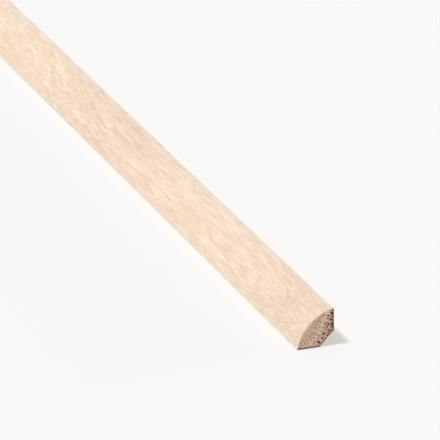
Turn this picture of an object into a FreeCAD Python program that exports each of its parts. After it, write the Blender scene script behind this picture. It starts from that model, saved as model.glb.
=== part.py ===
"""Oak quarter round moulding: one straight length of trim, planed from a single piece of wood.

The section has two flat legs at right angles, one against the wall and one on the floor.
A bowed face joins their outer edges, which are lightly eased, and a chamfer takes off the
back corner, so that both legs seat where a wall and a floor don't meet quite square.

The length runs along X. The wall leg faces +Y, the floor leg is the underside at Z = 0, and
the bowed face looks up and towards -Y. The origin lies on the floor plane at mid-length,
halfway between the wall plane and the front edge.
"""

import FreeCAD
import Part
import math
import os

# Driving dimensions, in millimetres.
LENGTH = 900.0
WALL_LEG = 12.0  # overall height, up the wall
FLOOR_LEG = 12.0  # overall depth, out across the floor
FACE_RADIUS = 15.0  # the bowed face
BACK_CHAMFER = 4.8  # taken off each leg at the back corner
TOE_RADIUS = 0.3  # the eased edge where the face meets each leg

# Planes that the section is set out from.
WALL_Y = FLOOR_LEG / 2
FRONT_Y = -FLOOR_LEG / 2
FLOOR_Z = 0.0
TOP_Z = FLOOR_Z + WALL_LEG
END_X = -LENGTH / 2

DOWN = FreeCAD.Vector(0, 0, -1)
TO_WALL = FreeCAD.Vector(0, 1, 0)
ALONG = FreeCAD.Vector(1, 0, 0)


def at(y, z):
    """A point of the section, in the plane of the first end."""
    return FreeCAD.Vector(END_X, y, z)


def unit(vector):
    """The same direction, one millimetre long."""
    return vector / vector.Length


def line(start, end):
    return Part.LineSegment(start, end).toShape()


def arc(start, middle, end):
    return Part.Arc(start, middle, end).toShape()


def toe_arc(centre, first, last):
    """The eased edge about centre, from direction first round to direction last."""
    middle = unit(first + last)
    return arc(centre + first * TOE_RADIUS, centre + middle * TOE_RADIUS, centre + last * TOE_RADIUS)


def section():
    """The closed outline, tangent all the way from the floor leg over the face to the wall leg."""
    floor_toe = at(FRONT_Y + TOE_RADIUS, FLOOR_Z + TOE_RADIUS)
    wall_toe = at(WALL_Y - TOE_RADIUS, TOP_Z - TOE_RADIUS)

    # The face touches both toe circles from outside, so its centre is equally far from both.
    between = wall_toe - floor_toe
    outward = ALONG.cross(unit(between))
    middle = (floor_toe + wall_toe) / 2
    setback = math.sqrt((FACE_RADIUS - TOE_RADIUS) ** 2 - (between.Length / 2) ** 2)
    face_centre = middle - outward * setback
    to_floor_toe = unit(floor_toe - face_centre)
    to_wall_toe = unit(wall_toe - face_centre)

    face = arc(
        face_centre + to_floor_toe * FACE_RADIUS,
        face_centre + outward * FACE_RADIUS,
        face_centre + to_wall_toe * FACE_RADIUS,
    )
    chamfer_on_wall = at(WALL_Y, FLOOR_Z + BACK_CHAMFER)
    chamfer_on_floor = at(WALL_Y - BACK_CHAMFER, FLOOR_Z)
    edges = [
        line(chamfer_on_floor, floor_toe + DOWN * TOE_RADIUS),
        toe_arc(floor_toe, DOWN, to_floor_toe),
        face,
        toe_arc(wall_toe, to_wall_toe, TO_WALL),
        line(wall_toe + TO_WALL * TOE_RADIUS, chamfer_on_wall),
        line(chamfer_on_wall, chamfer_on_floor),
    ]
    return Part.Wire(edges)


def quarter_round_moulding():
    """The section run through the whole length, cut square at both ends."""
    return Part.Face(section()).extrude(ALONG * LENGTH)


os.makedirs("parts", exist_ok=True)
quarter_round_moulding().exportStep("parts/quarter_round_moulding.step")
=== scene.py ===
"""A length of oak quarter round moulding, with its open grain, on a plain pale floor.

The file is laid out as a Blender add-on and run as a script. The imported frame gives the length,
the legs and the chamfer. The oak is worked out as one solid: growth rings about a pith outside the
section carry rows of large pores, which show as small holes in the sawn ends and as short open
grooves along the planed faces, and the colours of the grain follow the same rings.
"""

import math
import random
from collections import namedtuple

import bmesh
import bpy
from bpy.props import FloatProperty, FloatVectorProperty, IntProperty, PointerProperty
from mathutils import Matrix, Vector


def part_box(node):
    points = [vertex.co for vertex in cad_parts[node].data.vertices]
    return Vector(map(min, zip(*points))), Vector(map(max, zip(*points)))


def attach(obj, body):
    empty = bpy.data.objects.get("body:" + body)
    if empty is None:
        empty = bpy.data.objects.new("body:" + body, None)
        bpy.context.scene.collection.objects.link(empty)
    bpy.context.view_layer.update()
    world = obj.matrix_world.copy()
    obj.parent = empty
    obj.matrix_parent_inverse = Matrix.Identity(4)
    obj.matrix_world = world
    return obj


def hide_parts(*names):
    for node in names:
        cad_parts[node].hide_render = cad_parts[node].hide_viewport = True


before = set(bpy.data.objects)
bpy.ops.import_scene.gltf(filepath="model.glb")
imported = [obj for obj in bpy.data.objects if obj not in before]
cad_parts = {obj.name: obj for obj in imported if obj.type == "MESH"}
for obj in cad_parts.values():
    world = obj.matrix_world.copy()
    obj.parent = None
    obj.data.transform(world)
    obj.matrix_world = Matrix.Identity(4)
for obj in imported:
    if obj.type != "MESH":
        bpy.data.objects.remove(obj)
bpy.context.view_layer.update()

bl_info = {
    "name": "Oak Quarter Round",
    "version": (1, 0, 0),
    "blender": (4, 5, 0),
    "location": "View3D > Sidebar > Moulding",
    "description": "Models a length of oak quarter round with open grain, and a plain stage for it",
    "category": "Add Mesh",
}

NODE = "quarter_round_moulding"
MM = 0.001
TO_MM = 1 / MM
ALONG = Vector((1, 0, 0))
EXPORT_MAP = "OFBake"

# The frame's own sizes. The moulding lies along X with its wall leg at the largest Y.
LOW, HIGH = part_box(NODE)
FRONT_Y = LOW.y
WALL_Y = HIGH.y
FLOOR_Z = LOW.z
TOP_Z = HIGH.z
NEAR_X = HIGH.x
FAR_X = LOW.x

# A corner this near the floor lies on it.
TOUCHES = 0.01 * MM


def chamfer_in_frame():
    """How much of the floor leg the frame's back chamfer takes off."""
    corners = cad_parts[NODE].data.vertices
    return WALL_Y - max(v.co.y for v in corners if v.co.z < FLOOR_Z + TOUCHES)


# Settings that a user would change.


def length_setting(name, description, millimetres):
    """A length in the scene's own units, given in millimetres."""
    return FloatProperty(
        name=name, description=description, default=millimetres * MM, unit="LENGTH", precision=5
    )


def angle_setting(name, description, degrees):
    """An angle, given in degrees."""
    return FloatProperty(
        name=name, description=description, default=math.radians(degrees), unit="ROTATION"
    )


def colour_setting(name, description, red, green, blue):
    """A colour, given as it is mixed and not as a screen shows it."""
    return FloatVectorProperty(
        name=name, description=description, default=(red, green, blue), subtype="COLOR", min=0, max=1
    )


class MouldingSizes(bpy.types.PropertyGroup):
    """The section, its edges and the pores cut into it."""

    face_radius: length_setting("Face radius", "Radius of the bowed face", 15.0)
    toe_radius: length_setting("Toe radius", "Eased edge where the face meets each leg", 0.3)
    back_chamfer: length_setting(
        "Back chamfer", "Taken off each leg at the back corner", chamfer_in_frame() * TO_MM
    )
    arris: length_setting("Arris", "Broken edge round each sawn end", 0.06)
    column: length_setting("Column", "Width of a strip that grooves are cut in", 0.6)
    station: length_setting("Station", "Length of a strip's cells", 12.0)
    groove_width: length_setting("Groove width", "Widest open groove along the grain", 0.20)
    pore_radius: length_setting("Pore radius", "Largest pore in a sawn end", 0.48)
    fine_pore_radius: length_setting("Fine pore radius", "Pores between the large rows", 0.075)
    toe_steps: IntProperty(name="Toe steps", description="Segments round each toe", default=6, min=2)


class OakFigure(bpy.types.PropertyGroup):
    """Where the growth rings lie in the section, and how they run out along it."""

    pith_y: length_setting("Pith depth", "Place of the pith across the floor", -18.0)
    pith_z: length_setting("Pith height", "Place of the pith above the floor", 16.6)
    first_row: length_setting("First row", "From the pith to a row of large pores", 25.3)
    ring_width: length_setting("Ring width", "One year's growth", 3.75)
    row_gap: length_setting("Row gap", "Between the rows of pores in one ring", 1.05)
    run_out: FloatProperty(
        name="Run-out", description="How far the rings lean over each unit of length", default=0.0365
    )
    wander: length_setting("Wander", "How far the rings sway along the length", 3.2)
    wander_length: length_setting("Wander length", "Length of one sway", 240.0)
    tone_length: length_setting("Tone length", "From one darker stretch of the face to the next", 185.0)
    coarse_from: length_setting("Coarse wood", "From the pith to where the pores grow large", 22.8)
    seed: IntProperty(name="Seed", description="Starts the random draws", default=7)


class OakColours(bpy.types.PropertyGroup):
    """The colours of bare oak."""

    pale: colour_setting("Pale wood", "Palest wood of the planed face", 0.96, 0.84, 0.705)
    tan: colour_setting("Tan wood", "Darker growth of the planed face", 0.87, 0.70, 0.53)
    rose: colour_setting("Rose wood", "Warmer patches of the planed face", 0.88, 0.67, 0.545)
    honey: colour_setting("Honey wood", "Yellower patches of the planed face", 0.89, 0.73, 0.53)
    # Painted shade: a greyer band along the two long edges of the planed face.
    long_edge_shade: colour_setting("Shaded edge wood", "Planed face along its two long edges", 0.84, 0.73, 0.63)
    # Painted shade: a darker colour on the floor leg and chamfer, which face down and away from the
    # light.
    back: colour_setting("Back faces", "Floor leg and chamfer, darkened as painted shade", 0.43, 0.29, 0.185)
    vessel: colour_setting("Vessels", "Streaks and fine lines of the planed face", 0.72, 0.52, 0.37)
    groove: colour_setting("Groove", "Inside the open grooves of the planed face", 0.67, 0.48, 0.335)
    end_wood: colour_setting("End grain", "Sawn end between the pores", 0.815, 0.56, 0.41)
    end_brown: colour_setting("End grain, brown", "Darker grain of a sawn end", 0.35, 0.215, 0.14)
    end_warm: colour_setting("End grain, warm", "Sawn end near the back corner", 0.31, 0.155, 0.078)
    # Painted shade: a dark band of the sawn end along the two legs and the chamfer.
    end_edge_shade: colour_setting("End edge", "Sawn end along the two legs", 0.12, 0.06, 0.035)
    ray: colour_setting("Rays", "Pale lines across the rings", 0.95, 0.745, 0.575)
    # Painted shade: the pore walls are far darker than the wood round them, adding to the shade of the
    # holes' own depth.
    pore: colour_setting("Pores", "Inside the large pores of a sawn end", 0.215, 0.085, 0.035)
    fine_pore: colour_setting("Fine pores", "Inside the fine pores of a sawn end", 0.20, 0.11, 0.06)


class StageSettings(bpy.types.PropertyGroup):
    """Floor, light and camera."""

    floor: colour_setting("Floor", "Plain pale floor", 0.942, 0.938, 0.932)
    floor_glow: FloatProperty(
        name="Floor glow", description="Share of the floor's white that needs no light", default=0.27
    )
    floor_bounce: colour_setting("Floor bounce", "Floor as other surfaces see it", 0.90, 0.895, 0.885)
    floor_size: FloatProperty(
        name="Floor size", description="Width of the floor", default=24.0, unit="LENGTH"
    )
    sky: FloatProperty(name="Sky", description="Light from all round", default=0.51, min=0)
    key: FloatProperty(name="Key light", description="Strength of the main light", default=1.6)
    key_azimuth: angle_setting("Key azimuth", "Turn of the key light from the front", 0)
    key_elevation: angle_setting("Key elevation", "Height of the key light", 66)
    key_spread: angle_setting("Key spread", "Angle that the key light fills", 10)
    fill: FloatProperty(name="Fill light", description="Strength of the low side light", default=0.42)
    fill_azimuth: angle_setting("Fill azimuth", "Turn of the fill light from the front", 52)
    fill_elevation: angle_setting("Fill elevation", "Height of the fill light", 3.5)
    fill_spread: angle_setting("Fill spread", "Angle that the fill light fills", 9)
    back: FloatProperty(name="Back light", description="Strength of the light behind", default=0.75)
    back_azimuth: angle_setting("Back azimuth", "Turn of the back light from the front", 185)
    back_elevation: angle_setting("Back elevation", "Height of the back light", 6)
    back_spread: angle_setting("Back spread", "Angle that the back light fills", 10)
    azimuth: angle_setting("Camera azimuth", "Turn of the camera from the front", 69.68)
    elevation: angle_setting("Camera elevation", "Height of the camera", 21.28)
    roll: angle_setting("Camera roll", "Lean of the camera", -0.57)
    distance: FloatProperty(
        name="Camera distance", description="From the camera to its aim", default=1.5908, unit="LENGTH"
    )
    aim_from_end: length_setting("Aim", "From the near end to the camera's aim", 82.8)
    aim_height: length_setting("Aim height", "From the floor to the camera's aim", 11.73)
    lens: FloatProperty(name="Lens", description="Focal length", default=409.0, unit="CAMERA")


# The oak's growth rings, as the modelling reads them.


def ring_shift(figure, x):
    """How far the rings have moved out from the pith at x, against the near end."""
    along = x - NEAR_X
    sway = math.sin(math.tau * along / figure.wander_length)
    return figure.run_out * along + figure.wander * sway


def grain_slope(figure, point, across):
    """How far the grain moves over in one direction for each unit of length."""
    turns = math.tau * (point.x - NEAR_X) / figure.wander_length
    lean = figure.run_out + figure.wander * math.tau / figure.wander_length * math.cos(turns)
    outward = Vector((0, point.y - figure.pith_y, point.z - figure.pith_z)).normalized()
    return -lean * outward.dot(across)


def depth_in_ring(figure, point):
    """How far a point lies in from the first row of pores of its ring, towards the pith."""
    radius = math.hypot(point.y - figure.pith_y, point.z - figure.pith_z)
    return (figure.first_row - radius - ring_shift(figure, point.x)) % figure.ring_width


# Each ring has three rows of pores: (rows from the first, size of its pores).
PORE_ROWS = ((0, 0.75), (1, 1.0), (2, 0.65))

# How far a row's pores spread to each side, as a share of the gap between rows.
ROW_SPREAD = 0.4


def pore_share(figure, point):
    """From 0 to 1, how thickly large pores lie at a point."""
    depth = depth_in_ring(figure, point)
    share = 0.0
    for row, size in PORE_ROWS:
        off = abs(depth - row * figure.row_gap)
        off = min(off, figure.ring_width - off)
        share = max(share, size * math.exp(-((off / (ROW_SPREAD * figure.row_gap)) ** 2)))
    return share


# The section.


class Section:
    """Centres, planes and outline of the moulding's section, from its sizes."""

    def __init__(self, sizes):
        self.sizes = sizes
        toe = sizes.toe_radius
        self.floor_toe = Vector((0, FRONT_Y + toe, FLOOR_Z + toe))
        self.wall_toe = Vector((0, WALL_Y - toe, TOP_Z - toe))
        between = self.wall_toe - self.floor_toe
        reach = sizes.face_radius - toe
        setback = math.sqrt(reach**2 - (between.length / 2) ** 2)
        outward = ALONG.cross(between.normalized())
        self.face_centre = (self.floor_toe + self.wall_toe) / 2 - outward * setback
        self.face_turn = (self.floor_toe - self.face_centre).angle(self.wall_toe - self.face_centre)
        self.toe_turn = (math.tau - math.pi / 2 - self.face_turn) / 2
        self.chamfer_on_floor = Vector((0, WALL_Y - sizes.back_chamfer, FLOOR_Z))
        self.chamfer_on_wall = Vector((0, WALL_Y, FLOOR_Z + sizes.back_chamfer))

    def room(self, y, z):
        """How far inside the section a point lies; below 0 it is outside."""
        from_face = self.sizes.face_radius - math.hypot(y - self.face_centre.y, z - self.face_centre.z)
        return min(WALL_Y - y, z - FLOOR_Z, from_face, self.from_chamfer(y, z))

    def from_chamfer(self, y, z):
        """How far in from the back chamfer a point lies."""
        return ((WALL_Y - y) + (z - FLOOR_Z) - self.sizes.back_chamfer) / math.sqrt(2)

    def steps(self, length):
        """How many strips a stretch of the outline is divided into."""
        return max(2, round(length / self.sizes.column))

    def draw(self, bm):
        """Draws the outline at X = 0, and gives its vertices in order from the chamfer's foot."""
        toe_steps = self.sizes.toe_steps
        face_steps = self.steps(self.sizes.face_radius * self.face_turn)
        floor_end = self.floor_toe - Vector((0, 0, self.sizes.toe_radius))
        start = bmesh.ops.create_vert(bm, co=self.chamfer_on_floor)["vert"][0]
        end = draw_line(bm, start, floor_end, self.steps((floor_end - start.co).length))
        end = draw_arc(bm, end, self.floor_toe, -self.toe_turn, toe_steps)
        end = draw_arc(bm, end, self.face_centre, -self.face_turn, face_steps)
        end = draw_arc(bm, end, self.wall_toe, -self.toe_turn, toe_steps)
        wall_end = self.chamfer_on_wall
        end = draw_line(bm, end, wall_end, self.steps((wall_end - end.co).length))
        end = draw_line(bm, end, start.co, self.steps((start.co - end.co).length))
        bmesh.ops.weld_verts(bm, targetmap={end: start})
        return around(start)


def draw_line(bm, vert, end, steps):
    """Carries the outline on in equal steps to a point, and gives the last vertex."""
    step = (end - vert.co) / steps
    for _ in range(steps):
        vert = bmesh.ops.extrude_vert_indiv(bm, verts=[vert])["verts"][0]
        bmesh.ops.translate(bm, verts=[vert], vec=step)
    return vert


def draw_arc(bm, vert, centre, turn, steps):
    """Carries the outline on round a centre, and gives the last vertex."""
    spun = bmesh.ops.spin(bm, geom=[vert], cent=centre, axis=ALONG, angle=turn, steps=steps)
    return kind_in(spun["geom_last"], bmesh.types.BMVert)[0]


def kind_in(geometry, kind):
    """The vertices, edges or faces among what an operator gives back."""
    return [part for part in geometry if isinstance(part, kind)]


def opposite(edge):
    """The edge across from this one, on the only four-cornered face that it has so far."""
    return next(e for e in edge.link_faces[0].edges if not set(e.verts) & set(edge.verts))


def around(start):
    """The vertices of a closed outline in order, setting off along the floor."""
    edge = min(start.link_edges, key=lambda e: e.other_vert(start).co.z)
    found = [start]
    vert = edge.other_vert(start)
    while vert != start:
        found.append(vert)
        edge = next(e for e in vert.link_edges if e != edge)
        vert = edge.other_vert(vert)
    return found


# The piece of oak.

PLANED, SAWN, GROOVE, PORE, FINE_PORE = range(5)


class Strip:
    """One lengthwise strip of the section: where it starts on the outline, and which way it goes."""

    def __init__(self, start, end, girth):
        self.start = start
        self.across = (end - start).normalized()
        self.width = (end - start).length
        self.girth = girth


Pore = namedtuple("Pore", "y z radius turn corners wall")

# Rings tried for an end: from a radius past the whole section inwards, and between two turns.
OUTER_RADIUS = 36 * MM
RINGS = 8
FIRST_TURN = -0.2
LAST_TURN = -1.1

# Pores along a row: the space to the next and the stray from the row, as shares of the row gap.
PORE_SPACING = (0.45, 0.95)
PORE_STRAY = 0.25

# Pores of a row that lies nearer the pith than the coarse wood: the share kept, and their size.
SMALL_SHARE = 0.8
SMALL_SIZE = 0.6

# Fine pores between the rows: how many are tried, and how they are turned.
FINE_PORES = 420
FINE_TURNS = (-1, 0)

# The shape of a pore: its size as a share of the largest, and its width and length of its size.
PORE_SIZES = (0.6, 1.0)
OVAL = 1.3
PORE_WIDTHS = (0.65, 0.95)
PORE_LENGTHS = (0.9, OVAL)
LARGE_CORNERS = 12
SMALL_CORNERS = 8
FINE_CORNERS = 6

# A pore narrows to this share at its bottom, which lies this many of its longest radii deep.
PORE_TAPER = 0.55
PORE_DEPTH = 2

# Wood left between a pore and its neighbours or the edges.
PORE_CLEAR = 0.06 * MM

# How far the ends of the cells are staggered, as a share of a station.
STAGGER = 0.28

# The chance of a groove in any cell, and what a full row of pores adds to it.
GROOVE_CHANCE = 0.22
ROW_CHANCE = 0.5

# The shape of a groove: half its length as a share of the cell, where its sides are, and its width.
GROOVE_HALVES = (0.10, 0.36)
GROOVE_SLANTS = (0.25, 0.6)
GROOVE_WIDTHS = (0.45, 1.0)

# A groove's depth as a share of the widest groove, and the wood left round it.
GROOVE_DEPTH = 0.3
GROOVE_MARGIN = 0.03 * MM
GROOVE_CLEAR = 0.06 * MM

# Edges that bend less than this are shaded smooth.
CRISP_ANGLE = math.radians(25)


class OakLength:
    """Models the moulding step by step in one bmesh."""

    def __init__(self, sizes, figure):
        self.sizes = sizes
        self.figure = figure
        self.section = Section(sizes)
        self.draw = random.Random(figure.seed)
        self.bm = bmesh.new()
        self.strip_of = self.bm.faces.layers.int.new("strip")
        self.map = self.bm.loops.layers.uv.new(EXPORT_MAP)
        self.strips = []

    def plane_section(self):
        """Runs the section through the length, and notes which strip each long face belongs to."""
        bm = self.bm
        outline = self.section.draw(bm)
        bmesh.ops.translate(bm, verts=bm.verts, vec=ALONG * (FAR_X + self.sizes.arris))
        pairs = list(zip(outline, outline[1:] + outline[:1]))
        far_edges = [bm.edges.get(pair) for pair in pairs]
        girth = 0.0
        for first, second in pairs:
            self.strips.append(Strip(first.co.copy(), second.co.copy(), girth))
            girth += self.strips[-1].width
        grown = bmesh.ops.extrude_edge_only(bm, edges=far_edges)["geom"]
        near_verts = kind_in(grown, bmesh.types.BMVert)
        bmesh.ops.translate(bm, verts=near_verts, vec=ALONG * (NEAR_X - FAR_X - 2 * self.sizes.arris))
        for number, edge in enumerate(far_edges, start=1):
            edge.link_faces[0][self.strip_of] = number
        near_edges = [opposite(edge) for edge in far_edges]
        self.saw_end(far_edges, -1)
        self.saw_end(near_edges, 1)
        bmesh.ops.recalc_face_normals(bm, faces=bm.faces)

    def saw_end(self, loop, side):
        """Closes one end: a broken arris, then the sawn face with its pores."""
        bm = self.bm
        cap = bmesh.ops.edgeloop_fill(bm, edges=loop)["faces"]
        bmesh.ops.recalc_face_normals(bm, faces=bm.faces)
        arris = self.sizes.arris
        if cap[0].normal.x * side < 0:
            bmesh.ops.reverse_faces(bm, faces=cap)
        cap[0].material_index = SAWN
        bmesh.ops.inset_region(bm, faces=cap, thickness=arris, depth=arris, use_even_offset=True)
        rim = list(cap[0].edges)
        bmesh.ops.delete(bm, geom=cap, context="FACES_ONLY")
        x = NEAR_X if side > 0 else FAR_X
        pores = self.pores_at(x)
        circles = [self.pore_circle(x, pore) for pore in pores]
        edges = rim + [edge for circle in circles for edge in circle]
        filled = bmesh.ops.triangle_fill(bm, edges=edges, use_beauty=True, normal=ALONG * side)["geom"]
        for face in kind_in(filled, bmesh.types.BMFace):
            face.material_index = SAWN
        for pore, circle in zip(pores, circles):
            self.sink_pore(circle, side, pore.wall)

    def pores_at(self, x):
        """Chooses the pores of an end: rows of large ones along the rings, then fine ones between."""
        figure, sizes, draw = self.figure, self.sizes, self.draw
        shift = ring_shift(figure, x)
        chosen = []
        outermost = math.floor((figure.first_row - shift - OUTER_RADIUS) / figure.ring_width)
        for ring in range(outermost, outermost + RINGS):
            for row, size in PORE_ROWS:
                radius = figure.first_row - shift - ring * figure.ring_width - row * figure.row_gap
                turn = FIRST_TURN
                while turn > LAST_TURN:
                    turn -= draw.uniform(*PORE_SPACING) * figure.row_gap / radius
                    off = radius + draw.uniform(-PORE_STRAY, PORE_STRAY) * figure.row_gap
                    y = figure.pith_y + off * math.cos(turn)
                    z = figure.pith_z + off * math.sin(turn)
                    bore = size * draw.uniform(*PORE_SIZES) * sizes.pore_radius
                    if off > figure.coarse_from:
                        self.keep_pore(chosen, Pore(y, z, bore, turn, LARGE_CORNERS, PORE))
                    elif draw.random() < SMALL_SHARE:
                        small = SMALL_SIZE * bore
                        self.keep_pore(chosen, Pore(y, z, small, turn, SMALL_CORNERS, FINE_PORE))
        for _ in range(FINE_PORES):
            y = draw.uniform(FRONT_Y, WALL_Y)
            z = draw.uniform(FLOOR_Z, TOP_Z)
            bore = draw.uniform(*PORE_SIZES) * sizes.fine_pore_radius
            turn = draw.uniform(*FINE_TURNS)
            self.keep_pore(chosen, Pore(y, z, bore, turn, FINE_CORNERS, FINE_PORE))
        return chosen

    def keep_pore(self, chosen, pore):
        """Adds a pore if it is clear of the edges and of the pores before it."""
        if self.section.room(pore.y, pore.z) < pore.radius * OVAL + PORE_CLEAR:
            return
        for other in chosen:
            apart = math.hypot(pore.y - other.y, pore.z - other.z)
            if apart < (pore.radius + other.radius) * OVAL + PORE_CLEAR:
                return
        chosen.append(pore)

    def pore_circle(self, x, pore):
        """The rim of one pore, drawn out a little across the rings."""
        place = Matrix.Translation((x, pore.y, pore.z)) @ Matrix.Rotation(pore.turn, 4, "X")
        upright = Matrix.Rotation(math.pi / 2, 4, "Y")
        width = self.draw.uniform(*PORE_WIDTHS)
        length = self.draw.uniform(*PORE_LENGTHS)
        oval = Matrix.Diagonal((width, length, 1.0, 1.0))
        rim = bmesh.ops.create_circle(
            self.bm, segments=pore.corners, radius=pore.radius, matrix=place @ upright @ oval
        )
        return list({edge: None for vert in rim["verts"] for edge in vert.link_edges})

    def sink_pore(self, circle, side, wall):
        """Draws a pore's rim in and down to a closed bottom."""
        bm = self.bm
        grown = bmesh.ops.extrude_edge_only(bm, edges=circle)["geom"]
        deep = kind_in(grown, bmesh.types.BMVert)
        centre = sum((v.co for v in deep), Vector()) / len(deep)
        reach = max((v.co - centre).length for v in deep)
        narrowed = (1, PORE_TAPER, PORE_TAPER)
        bmesh.ops.scale(bm, verts=deep, vec=narrowed, space=Matrix.Translation(-centre))
        bmesh.ops.translate(bm, verts=deep, vec=ALONG * (-side * PORE_DEPTH * reach))
        grown_edges = kind_in(grown, bmesh.types.BMEdge)
        deep_edges = [e for e in grown_edges if e.verts[0] in deep and e.verts[1] in deep]
        bottom = bmesh.ops.edgeloop_fill(bm, edges=deep_edges)["faces"]
        for face in kind_in(grown, bmesh.types.BMFace) + bottom:
            face.material_index = wall

    def divide_length(self):
        """Cuts the strips into cells, and staggers the cuts so that no two cells line up."""
        bm = self.bm
        long_edges = [e for e in bm.edges if e.calc_length() > (NEAR_X - FAR_X) / 2]
        cuts = round((NEAR_X - FAR_X) / self.sizes.station) - 1
        cut = bmesh.ops.subdivide_edges(bm, edges=long_edges, cuts=cuts, use_grid_fill=True)
        split = kind_in(cut["geom_split"], bmesh.types.BMVert)
        for vert in sorted(split, key=self.place_in_order):
            vert.co.x += self.draw.uniform(-STAGGER, STAGGER) * self.sizes.station

    def place_in_order(self, vert):
        """Sorts the cuts by station and then round the section, so that every run draws alike."""
        middle = (LOW + HIGH) / 2
        station = round((vert.co.x - FAR_X) / self.sizes.station)
        return station, math.atan2(vert.co.z - middle.z, vert.co.y - middle.y)

    def cut_grooves(self):
        """Opens a groove in the cells that the rows of large pores run out through."""
        bm = self.bm
        narrow = self.sizes.column / 2
        cells = [face for face in bm.faces if face[self.strip_of]]
        cells.sort(key=lambda face: (face[self.strip_of], face.calc_center_median().x))
        chosen = []
        for face in cells:
            if self.strips[face[self.strip_of] - 1].width > narrow:
                share = pore_share(self.figure, face.calc_center_median())
                if self.draw.random() < GROOVE_CHANCE + ROW_CHANCE * share:
                    chosen.append(face)
        bmesh.ops.inset_individual(bm, faces=chosen, thickness=GROOVE_MARGIN, use_even_offset=True)
        for face in chosen:
            self.shape_groove(face)
            face.material_index = GROOVE
        depth = GROOVE_DEPTH * self.sizes.groove_width
        bmesh.ops.poke(bm, faces=chosen, offset=-depth, center_mode="MEAN")

    def shape_groove(self, face):
        """Draws a cell's inner face out into a long slim lozenge that leans with the grain."""
        draw = self.draw
        strip = self.strips[face[self.strip_of] - 1]
        across = strip.across
        centre = face.calc_center_median()
        spans = [v.co - centre for v in face.verts]
        near = min(span.x for span in spans if span.x > 0)
        far = max(span.x for span in spans if span.x < 0)
        half = draw.uniform(*GROOVE_HALVES) * (near - far)
        middle = draw.uniform(far + half, near - half)
        slant = draw.choice((-1, 1)) * draw.uniform(*GROOVE_SLANTS)
        wide = self.sizes.groove_width / 2 * draw.uniform(*GROOVE_WIDTHS)
        room = strip.width / 2 - GROOVE_CLEAR
        lean = max(-room, min(room, half * grain_slope(self.figure, centre, across)))
        for vert, span in zip(face.verts, spans):
            ahead = span.x > 0
            right = span.dot(across) > 0
            if (ahead == right) == (lean >= 0):
                place = 1 if ahead else -1
                aside = 0
            else:
                place = slant if right else -slant
                aside = wide if right else -wide
            vert.co = centre + ALONG * (middle + place * half) + across * (place * lean + aside)

    def lay_map(self):
        """Lays the long faces out in three rows and the two ends above them."""
        rows = 3
        row_length = (NEAR_X - FAR_X) / rows
        girth = self.strips[-1].girth + self.strips[-1].width
        row_height = 0.255
        row_pitch = 0.26
        end_size = 0.2
        margin = 0.004
        ends_from = rows * row_pitch + 2 * margin
        for face in self.bm.faces:
            number = face[self.strip_of]
            centre = face.calc_center_median()
            if number:
                strip = self.strips[number - 1]
                row = min(rows - 1, int((centre.x - FAR_X) / row_length))
                start = FAR_X + row * row_length
                for loop in face.loops:
                    over = loop.vert.co - strip.start
                    around_girth = (strip.girth + over.dot(strip.across)) / girth
                    along = (loop.vert.co.x - start) / row_length
                    loop[self.map].uv = (
                        margin + along * (1 - 2 * margin),
                        margin + row * row_pitch + around_girth * row_height,
                    )
            else:
                left = margin if centre.x < 0 else 2 * margin + end_size
                for loop in face.loops:
                    y = (loop.vert.co.y - FRONT_Y) / (WALL_Y - FRONT_Y)
                    z = (loop.vert.co.z - FLOOR_Z) / (TOP_Z - FLOOR_Z)
                    loop[self.map].uv = (left + y * end_size, ends_from + z * end_size)

    def shade(self):
        """Smooths the planed faces, and keeps corners, ends and grooves crisp."""
        for face in self.bm.faces:
            face.smooth = face.material_index == PLANED
        for edge in self.bm.edges:
            edge.smooth = edge.calc_face_angle(0) < CRISP_ANGLE

    def make(self):
        """Takes every step in turn, and gives the finished mesh."""
        self.plane_section()
        self.divide_length()
        self.cut_grooves()
        self.lay_map()
        self.shade()
        mesh = bpy.data.meshes.new("oak_quarter_round")
        self.bm.to_mesh(mesh)
        self.bm.free()
        return mesh


# Materials.

# Bare wood has little shine, and relief too fine to model.
WOOD_SHINE = 0.3
BUMP_STRENGTH = 0.7
PLANED_RELIEF = 0.05 * MM
SAWN_RELIEF = 0.06 * MM
OPEN_RELIEF = 0.03 * MM

# Planed faces: how far the tone moves the patches and streaks, and how strongly each mark shows.
TONE_IN_PATCHES = 0.19
TONE_IN_STREAKS = 0.16
STREAK_SHARE = 0.48
SPRING_TAN = 0.2
VESSELS_BETWEEN = 0.35
VESSELS_IN_ROWS = 0.65
VESSEL_SHARE = 0.7
VESSEL_ROUGHNESS = 0.25
FIBRE_RELIEF = 0.35

# Sawn ends: the slope of the painted shade along the wall edge, and the millimetres that blotches move
# the warm wood.
EDGE_SLOPE = 0.03
BLOTCH_REACH = 4.0

# Rays of a sawn end: how many to the millimetre, and how far blotches bend them.
RAYS_TO_MM = 1.1
RAY_BEND = 0.8

# Other marks of a sawn end: how strongly they show, and the saw's marks to the millimetre.
SPRING_BROWN = 0.25
SPECK_SHARE = 0.4
SAW_MARKS = (0.5, 5.0, 0.5)
SAW_RELIEF = 0.8


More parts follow.
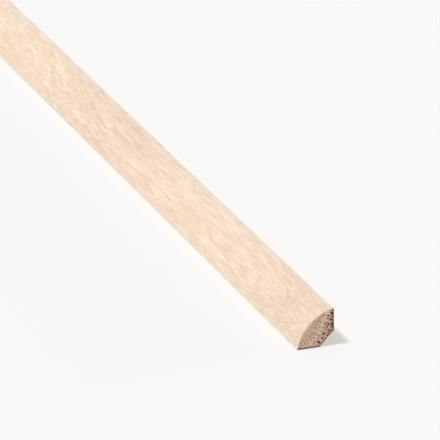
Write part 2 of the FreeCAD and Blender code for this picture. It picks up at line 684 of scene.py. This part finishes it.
class Finish:
    """The nodes of one material, with the growth rings worked out first. Lengths are millimetres."""

    def __init__(self, name, figure):
        self.material = bpy.data.materials.new(name)
        self.material.use_nodes = True
        self.tree = self.material.node_tree
        self.tree.nodes.clear()
        self.surface = self.add("BsdfPrincipled")
        output = self.add("OutputMaterial")
        self.tree.links.new(self.surface.outputs["BSDF"], output.inputs["Surface"])
        place = self.add("TexCoord").outputs["Object"]
        self.place = self.vector("SCALE", place, scale=TO_MM)
        split = self.add("SeparateXYZ")
        self.feed(split.inputs[0], self.place)
        self.x, self.y, self.z = split.outputs
        self.trace_rings(figure)

    def trace_rings(self, figure):
        """Place along the length, across the rings and round them, for any point of the oak."""
        out = self.math("SUBTRACT", self.y, figure.pith_y * TO_MM)
        up = self.math("SUBTRACT", self.z, figure.pith_z * TO_MM)
        self.along = self.math("SUBTRACT", self.x, NEAR_X * TO_MM)
        turns = self.math("MULTIPLY", self.along, math.tau / (figure.wander_length * TO_MM))
        sway = self.math("MULTIPLY", self.math("SINE", turns), figure.wander * TO_MM)
        squares = self.math("ADD", self.math("POWER", out, 2), self.math("POWER", up, 2))
        self.radius = self.math("SQRT", squares)
        leaning = self.math("MULTIPLY_ADD", self.along, figure.run_out, sway)
        self.ring = self.math("ADD", self.radius, leaning)
        self.round = self.math("MULTIPLY", self.math("ARCTAN2", up, out), figure.first_row * TO_MM)

    def trace_back(self, sizes):
        """How far in from the two legs a point lies, and from the chamfer by both ways together."""
        self.from_wall = self.math("SUBTRACT", WALL_Y * TO_MM, self.y)
        self.from_floor = self.math("SUBTRACT", self.z, FLOOR_Z * TO_MM)
        both = self.math("ADD", self.from_wall, self.from_floor)
        self.from_chamfer = self.math("SUBTRACT", both, sizes.back_chamfer * TO_MM)

    def tone(self, figure):
        """From -1 to 1 and back, once in each tone length."""
        turns = self.math("MULTIPLY", self.along, math.tau / (figure.tone_length * TO_MM))
        return self.math("COSINE", turns)

    def spring_wood(self, figure):
        """High at the three rows of pores of each ring, and low in the close wood behind them."""
        inward = self.math("SUBTRACT", figure.first_row * TO_MM, self.ring)
        depth = self.math("FRACT", self.math("DIVIDE", inward, figure.ring_width * TO_MM))
        gap = figure.row_gap / figure.ring_width
        return self.profile(
            depth,
            (
                (0.0, 0.8),
                (0.5 * gap, 0.35),
                (gap, 1.0),
                (1.5 * gap, 0.35),
                (2 * gap, 0.8),
                (2.5 * gap, 0.1),
                (0.86, 0.05),
                (1.0, 0.8),
            ),
        )

    def add(self, kind, **settings):
        node = self.tree.nodes.new("ShaderNode" + kind)
        for key, value in settings.items():
            setattr(node, key, value)
        return node

    def feed(self, socket, value):
        """Links a socket, or sets its value."""
        if isinstance(value, bpy.types.NodeSocket):
            self.tree.links.new(value, socket)
        else:
            socket.default_value = value

    def math(self, operation, *values):
        node = self.add("Math", operation=operation)
        for socket, value in zip(node.inputs, values):
            self.feed(socket, value)
        return node.outputs[0]

    def vector(self, operation, first, second=None, scale=None):
        node = self.add("VectorMath", operation=operation)
        self.feed(node.inputs[0], first)
        if second is not None:
            self.feed(node.inputs[1], second)
        if scale is not None:
            self.feed(node.inputs["Scale"], scale)
        return node.outputs[0]

    def grain(self, along, ring, turn):
        """A point in the wood's own directions, with so many pattern cells to the millimetre."""
        join = self.add("CombineXYZ")
        self.feed(join.inputs[0], self.math("MULTIPLY", self.x, along))
        self.feed(join.inputs[1], self.math("MULTIPLY", self.ring, ring))
        self.feed(join.inputs[2], self.math("MULTIPLY", self.round, turn))
        return join.outputs[0]

    def noise(self, vector, detail):
        node = self.add("TexNoise")
        self.feed(node.inputs["Vector"], vector)
        self.feed(node.inputs["Scale"], 1.0)
        self.feed(node.inputs["Detail"], detail)
        return node.outputs["Fac"]

    def cells(self, vector):
        node = self.add("TexVoronoi")
        self.feed(node.inputs["Vector"], vector)
        self.feed(node.inputs["Scale"], 1.0)
        return node.outputs["Distance"]

    def lines(self, value):
        """How far a value is from the nearest of an uneven row of lines, about one to the unit."""
        node = self.add("TexVoronoi", voronoi_dimensions="1D")
        self.feed(node.inputs["W"], value)
        self.feed(node.inputs["Scale"], 1.0)
        return node.outputs["Distance"]

    def fade(self, value, over, to=(0, 1)):
        """Goes smoothly from one number to another while a value goes over a range."""
        node = self.add("MapRange", interpolation_type="SMOOTHSTEP")
        self.feed(node.inputs["Value"], value)
        self.feed(node.inputs["From Min"], over[0])
        self.feed(node.inputs["From Max"], over[1])
        self.feed(node.inputs["To Min"], to[0])
        self.feed(node.inputs["To Max"], to[1])
        return node.outputs["Result"]

    def profile(self, value, stops):
        """A curve through (place, height) stops."""
        node = self.add("ValToRGB")
        ramp = node.color_ramp
        ramp.interpolation = "EASE"
        while len(ramp.elements) < len(stops):
            ramp.elements.new(0.5)
        for element, (place, height) in zip(ramp.elements, stops):
            element.position = place
            element.color = (height, height, height, 1)
        self.feed(node.inputs["Fac"], value)
        return node.outputs["Color"]

    def mix(self, share, first, second):
        """A colour between two, each given as a colour setting or a socket."""
        node = self.add("MixRGB")
        self.feed(node.inputs["Fac"], share)
        for socket, colour in zip((node.inputs["Color1"], node.inputs["Color2"]), (first, second)):
            self.feed(socket, colour if isinstance(colour, bpy.types.NodeSocket) else (*colour, 1))
        return node.outputs["Color"]

    def cover(self, colour, roughness, height, relief):
        """Gives the surface its colour, roughness and fine relief. Bare wood has little shine."""
        self.surface.inputs["Specular IOR Level"].default_value = WOOD_SHINE
        bump = self.add("Bump")
        self.feed(bump.inputs["Height"], height)
        self.feed(bump.inputs["Strength"], BUMP_STRENGTH)
        self.feed(bump.inputs["Distance"], relief)
        self.feed(self.surface.inputs["Base Color"], colour)
        self.feed(self.surface.inputs["Roughness"], roughness)
        self.tree.links.new(bump.outputs["Normal"], self.surface.inputs["Normal"])
        return self.material


def planed_oak(sizes, figure, colours):
    """Planed along the grain: soft streaks, fine fibres and short dark vessel lines."""
    oak = Finish("oak_planed", figure)
    oak.trace_back(sizes)
    tone = oak.tone(figure)
    spring = oak.spring_wood(figure)
    growth = oak.noise(oak.grain(along=0.008, ring=0.9, turn=0.2), detail=3)
    streak = oak.noise(oak.grain(along=0.06, ring=2.0, turn=0.9), detail=3)
    patch = oak.noise(oak.grain(along=0.01, ring=0.15, turn=0.15), detail=2)
    patch = oak.math("MULTIPLY_ADD", tone, TONE_IN_PATCHES, patch)
    tint = oak.noise(oak.grain(along=0.05, ring=0.35, turn=0.35), detail=2)
    blush = oak.noise(oak.grain(along=0.065, ring=0.45, turn=0.45), detail=2)
    fibre = oak.noise(oak.grain(along=0.09, ring=6.0, turn=3.0), detail=3)
    mottle = oak.noise(oak.grain(along=0.14, ring=1.6, turn=1.3), detail=2)
    vessel = oak.cells(oak.grain(along=0.10, ring=3.0, turn=2.8))
    vessel = oak.fade(vessel, over=(0.14, 0.44), to=(1, 0))
    in_rows = oak.math("MULTIPLY_ADD", spring, VESSELS_IN_ROWS, VESSELS_BETWEEN)
    vessel = oak.math("MULTIPLY", vessel, in_rows)
    ray = oak.cells(oak.grain(along=0.13, ring=0.2, turn=1.5))
    ray = oak.fade(ray, over=(0.05, 0.17), to=(0.35, 0))
    from_top = oak.math("SUBTRACT", TOP_Z * TO_MM, oak.z)
    from_front = oak.math("SUBTRACT", oak.y, FRONT_Y * TO_MM)
    # Painted shade: greyer wood within about half a millimetre of the top and front edges.
    long_edge_shade = oak.fade(oak.math("MINIMUM", from_top, from_front), over=(0.05, 0.45), to=(0.7, 0))
    # Painted shade: the floor leg and chamfer take a share of the darker back colour.
    back = oak.math("MINIMUM", oak.from_floor, oak.from_chamfer)
    back = oak.fade(back, over=(0.01, 0.06), to=(0.35, 0))
    colour = oak.mix(oak.fade(growth, over=(0.40, 0.64), to=(0.25, 0.95)), colours.pale, colours.tan)
    colour = oak.mix(oak.fade(patch, over=(0.42, 0.72), to=(0, 0.65)), colour, colours.rose)
    colour = oak.mix(oak.fade(tint, over=(0.48, 0.66), to=(0, 0.85)), colour, colours.honey)
    colour = oak.mix(oak.fade(blush, over=(0.48, 0.66), to=(0, 0.75)), colour, colours.rose)
    colour = oak.mix(oak.math("MULTIPLY", spring, SPRING_TAN), colour, colours.tan)
    strength = oak.math("MULTIPLY_ADD", tone, TONE_IN_STREAKS, STREAK_SHARE)
    streak = oak.math("MULTIPLY", oak.fade(streak, over=(0.46, 0.64)), strength)
    colour = oak.mix(streak, colour, colours.vessel)
    colour = oak.mix(long_edge_shade, colour, colours.long_edge_shade)
    colour = oak.mix(back, colour, colours.back)
    colour = oak.mix(oak.fade(fibre, over=(0.50, 0.75), to=(0, 0.4)), colour, colours.vessel)
    mottle = oak.math("MULTIPLY", oak.fade(mottle, over=(0.46, 0.66), to=(0, 0.7)), strength)
    colour = oak.mix(mottle, colour, colours.vessel)
    colour = oak.mix(ray, colour, colours.vessel)
    colour = oak.mix(oak.math("MULTIPLY", vessel, VESSEL_SHARE), colour, colours.vessel)
    roughness = oak.fade(fibre, over=(0.3, 0.7), to=(0.48, 0.62))
    roughness = oak.math("MULTIPLY_ADD", vessel, VESSEL_ROUGHNESS, roughness)
    height = oak.math("SUBTRACT", oak.math("MULTIPLY", fibre, FIBRE_RELIEF), vessel)
    return oak.cover(colour, roughness, height, PLANED_RELIEF)


def sawn_oak(sizes, figure, colours):
    """Sawn across the grain: rings, pale rays, dark specks, and painted shade along the back faces."""
    oak = Finish("oak_sawn", figure)
    oak.trace_back(sizes)
    spring = oak.spring_wood(figure)
    # Painted shade: the sawn end darkens along the wall leg, the floor leg and the chamfer.
    edge = oak.math("MULTIPLY_ADD", oak.from_floor, EDGE_SLOPE, oak.from_wall)
    edge = oak.fade(edge, over=(0.45, 1.15), to=(1, 0))
    edge = oak.math("MAXIMUM", edge, oak.fade(oak.from_floor, over=(0.15, 0.8), to=(1, 0)))
    edge = oak.math("MAXIMUM", edge, oak.fade(oak.from_chamfer, over=(0.1, 1.3), to=(0.6, 0)))
    fibre = oak.noise(oak.grain(along=0.5, ring=0.9, turn=3.6), detail=4)
    layer = oak.noise(oak.grain(along=0.3, ring=2.4, turn=0.7), detail=3)
    blotch = oak.noise(oak.grain(along=0.3, ring=0.7, turn=0.9), detail=3)
    speck = oak.cells(oak.grain(along=0.4, ring=2.0, turn=2.6))
    speck = oak.fade(speck, over=(0.15, 0.50), to=(1, 0))
    coarse = figure.coarse_from * TO_MM
    warm = oak.math("MULTIPLY_ADD", blotch, BLOTCH_REACH, oak.radius)
    warm = oak.fade(warm, over=(coarse + 1.8, coarse + 3.8), to=(0, 0.9))
    warm = oak.math("MULTIPLY", warm, oak.fade(oak.from_wall, over=(0.4, 3.0), to=(1, 0.5)))
    bent = oak.math("MULTIPLY_ADD", blotch, RAY_BEND, oak.math("MULTIPLY", oak.round, RAYS_TO_MM))
    ray = oak.fade(oak.lines(bent), over=(0.07, 0.22), to=(1, 0))
    ray = oak.math("MULTIPLY", ray, oak.fade(layer, over=(0.36, 0.58), to=(0.15, 0.9)))
    ray = oak.math("MULTIPLY", ray, oak.fade(oak.radius, over=(coarse - 1.5, coarse), to=(0.45, 1)))
    saw = oak.noise(oak.vector("MULTIPLY", oak.place, SAW_MARKS), detail=3)
    brown = oak.fade(fibre, over=(0.40, 0.68), to=(0, 0.5))
    colour = oak.mix(brown, colours.end_wood, colours.end_brown)
    colour = oak.mix(oak.fade(layer, over=(0.45, 0.70), to=(0, 0.4)), colour, colours.end_brown)
    colour = oak.mix(oak.math("MULTIPLY", spring, SPRING_BROWN), colour, colours.end_brown)
    colour = oak.mix(warm, colour, colours.end_warm)
    colour = oak.mix(oak.math("MULTIPLY", speck, SPECK_SHARE), colour, colours.end_brown)
    colour = oak.mix(ray, colour, colours.ray)
    colour = oak.mix(edge, colour, colours.end_edge_shade)
    roughness = oak.fade(fibre, over=(0.3, 0.7), to=(0.72, 0.9))
    height = oak.math("SUBTRACT", oak.math("MULTIPLY_ADD", saw, SAW_RELIEF, fibre), speck)
    return oak.cover(colour, roughness, height, SAWN_RELIEF)


def open_oak(name, figure, colour, pale):
    """The walls of a pore or groove, uneven and a little paler in places."""
    oak = Finish(name, figure)
    wall = oak.noise(oak.grain(along=0.6, ring=3.0, turn=3.0), detail=3)
    colour = oak.mix(oak.fade(wall, over=(0.4, 0.75), to=(0, 0.4)), colour, pale)
    roughness = oak.fade(wall, over=(0.3, 0.7), to=(0.8, 0.95))
    return oak.cover(colour, roughness, wall, OPEN_RELIEF)


# Floor, light and camera.

FLOOR_ROUGHNESS = 0.9
FLOOR_SHINE = 0.1
SENSOR_WIDTH = 36.0
CLIP_END = 100.0


def facing(azimuth, elevation):
    """The direction from the moulding towards a place round it, turned from the front."""
    level = math.cos(elevation)
    return Vector((math.sin(azimuth) * level, -math.cos(azimuth) * level, math.sin(elevation)))


def seen_directly(tree):
    """1 for what the camera sees itself, in a mirror or through glass, and 0 for what lights others."""
    path = tree.nodes.new("ShaderNodeLightPath")
    seen = path.outputs["Is Camera Ray"]
    for ray in ("Is Glossy Ray", "Is Transmission Ray"):
        either = tree.nodes.new("ShaderNodeMath")
        either.operation = "MAXIMUM"
        tree.links.new(seen, either.inputs[0])
        tree.links.new(path.outputs[ray], either.inputs[1])
        seen = either.outputs[0]
    return seen


def lay_floor(stage):
    """A wide plain floor, part of whose white glows by itself where it is seen directly."""
    bm = bmesh.new()
    bmesh.ops.create_grid(bm, x_segments=1, y_segments=1, size=stage.floor_size / 2)
    mesh = bpy.data.meshes.new("floor")
    bm.to_mesh(mesh)
    bm.free()
    material = bpy.data.materials.new("floor_paint")
    material.use_nodes = True
    tree = material.node_tree
    surface = tree.nodes["Principled BSDF"]
    surface.inputs["Roughness"].default_value = FLOOR_ROUGHNESS
    surface.inputs["Specular IOR Level"].default_value = FLOOR_SHINE
    surface.inputs["Emission Color"].default_value = (*stage.floor, 1)
    seen = seen_directly(tree)
    glow = tree.nodes.new("ShaderNodeMath")
    glow.operation = "MULTIPLY"
    glow.inputs[1].default_value = stage.floor_glow
    tree.links.new(seen, glow.inputs[0])
    tree.links.new(glow.outputs[0], surface.inputs["Emission Strength"])
    paint = tree.nodes.new("ShaderNodeMixRGB")
    paint.inputs["Color1"].default_value = (*stage.floor_bounce, 1)
    paint.inputs["Color2"].default_value = (*((1 - stage.floor_glow) * Vector(stage.floor)), 1)
    tree.links.new(seen, paint.inputs["Fac"])
    tree.links.new(paint.outputs["Color"], surface.inputs["Base Color"])
    mesh.materials.append(material)
    floor = bpy.data.objects.new("floor", mesh)
    bpy.context.scene.collection.objects.link(floor)


def hang_light(name, strength, azimuth, elevation, spread):
    """A soft light that shines from one side over the whole floor."""
    lamp = bpy.data.lights.new(name, "SUN")
    lamp.energy = strength
    lamp.angle = spread
    light = bpy.data.objects.new(name, lamp)
    light.rotation_mode = "QUATERNION"
    light.rotation_quaternion = facing(azimuth, elevation).to_track_quat("Z", "Y")
    bpy.context.scene.collection.objects.link(light)


def paint_sky(stage):
    """Even light from all round, which shows as white behind the floor."""
    world = bpy.data.worlds.new("sky")
    world.use_nodes = True
    tree = world.node_tree
    background = tree.nodes["Background"]
    background.inputs["Color"].default_value = (1, 1, 1, 1)
    level = tree.nodes.new("ShaderNodeMapRange")
    level.inputs["To Min"].default_value = stage.sky
    level.inputs["To Max"].default_value = 1.0
    tree.links.new(seen_directly(tree), level.inputs["Value"])
    tree.links.new(level.outputs["Result"], background.inputs["Strength"])
    bpy.context.scene.world = world


def set_camera(stage):
    """Looks at a point near the near end, as the stage settings say."""
    lens = bpy.data.cameras.new("camera")
    lens.sensor_width = SENSOR_WIDTH
    lens.lens = stage.lens
    lens.clip_end = CLIP_END
    camera = bpy.data.objects.new("camera", lens)
    towards = facing(stage.azimuth, stage.elevation)
    aim = Vector((NEAR_X - stage.aim_from_end, 0, FLOOR_Z + stage.aim_height))
    camera.location = aim + towards * stage.distance
    upright = (-towards).to_track_quat("-Z", "Y")
    camera.rotation_mode = "QUATERNION"
    camera.rotation_quaternion = upright @ Matrix.Rotation(stage.roll, 3, "Z").to_quaternion()
    bpy.context.scene.collection.objects.link(camera)
    bpy.context.scene.camera = camera


# The add-on's operators and panel.


class MOULDING_OT_length(bpy.types.Operator):
    """Model the length of oak quarter round in place of the plain part"""

    bl_idname = "moulding.length"
    bl_label = "Make Quarter Round"

    def execute(self, context):
        scene = context.scene
        sizes, figure, colours = scene.moulding_sizes, scene.oak_figure, scene.oak_colours
        mesh = OakLength(sizes, figure).make()
        mesh.materials.append(planed_oak(sizes, figure, colours))
        mesh.materials.append(sawn_oak(sizes, figure, colours))
        mesh.materials.append(open_oak("oak_groove", figure, colours.groove, colours.tan))
        # The pore materials carry painted shade inside the holes.
        mesh.materials.append(open_oak("oak_pore", figure, colours.pore, colours.end_warm))
        mesh.materials.append(open_oak("oak_fine_pore", figure, colours.fine_pore, colours.end_warm))
        piece = bpy.data.objects.new("oak_quarter_round", mesh)
        scene.collection.objects.link(piece)
        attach(piece, "root")
        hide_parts(NODE)
        return {"FINISHED"}


class MOULDING_OT_stage(bpy.types.Operator):
    """Lay the floor, hang the lights and set the camera"""

    bl_idname = "moulding.stage"
    bl_label = "Set Stage"

    def execute(self, context):
        stage = context.scene.moulding_stage
        lay_floor(stage)
        hang_light("key", stage.key, stage.key_azimuth, stage.key_elevation, stage.key_spread)
        hang_light("fill", stage.fill, stage.fill_azimuth, stage.fill_elevation, stage.fill_spread)
        hang_light("back", stage.back, stage.back_azimuth, stage.back_elevation, stage.back_spread)
        paint_sky(stage)
        set_camera(stage)
        context.scene.view_settings.view_transform = "Standard"
        return {"FINISHED"}


class MOULDING_PT_sidebar(bpy.types.Panel):
    """Settings of the moulding and its stage"""

    bl_label = "Quarter Round"
    bl_idname = "MOULDING_PT_sidebar"
    bl_space_type = "VIEW_3D"
    bl_region_type = "UI"
    bl_category = "Moulding"

    def draw(self, context):
        scene = context.scene
        groups = (
            ("moulding.length", (scene.moulding_sizes, scene.oak_figure, scene.oak_colours)),
            ("moulding.stage", (scene.moulding_stage,)),
        )
        for operator, settings in groups:
            box = self.layout.box()
            box.operator(operator)
            for group in settings:
                for name in group.__annotations__:
                    box.prop(group, name)


CLASSES = (
    MouldingSizes,
    OakFigure,
    OakColours,
    StageSettings,
    MOULDING_OT_length,
    MOULDING_OT_stage,
    MOULDING_PT_sidebar,
)


def register():
    for cls in CLASSES:
        bpy.utils.register_class(cls)
    bpy.types.Scene.moulding_sizes = PointerProperty(type=MouldingSizes)
    bpy.types.Scene.oak_figure = PointerProperty(type=OakFigure)
    bpy.types.Scene.oak_colours = PointerProperty(type=OakColours)
    bpy.types.Scene.moulding_stage = PointerProperty(type=StageSettings)


def unregister():
    del bpy.types.Scene.moulding_stage
    del bpy.types.Scene.oak_colours
    del bpy.types.Scene.oak_figure
    del bpy.types.Scene.moulding_sizes
    for cls in reversed(CLASSES):
        bpy.utils.unregister_class(cls)


def corners(box):
    """A box's two corners as plain lists of numbers."""
    return [[float(value) for value in corner] for corner in box]


def main():
    register()
    bpy.ops.moulding.length()
    bpy.ops.moulding.stage()


if __name__ == "__main__":
    main()
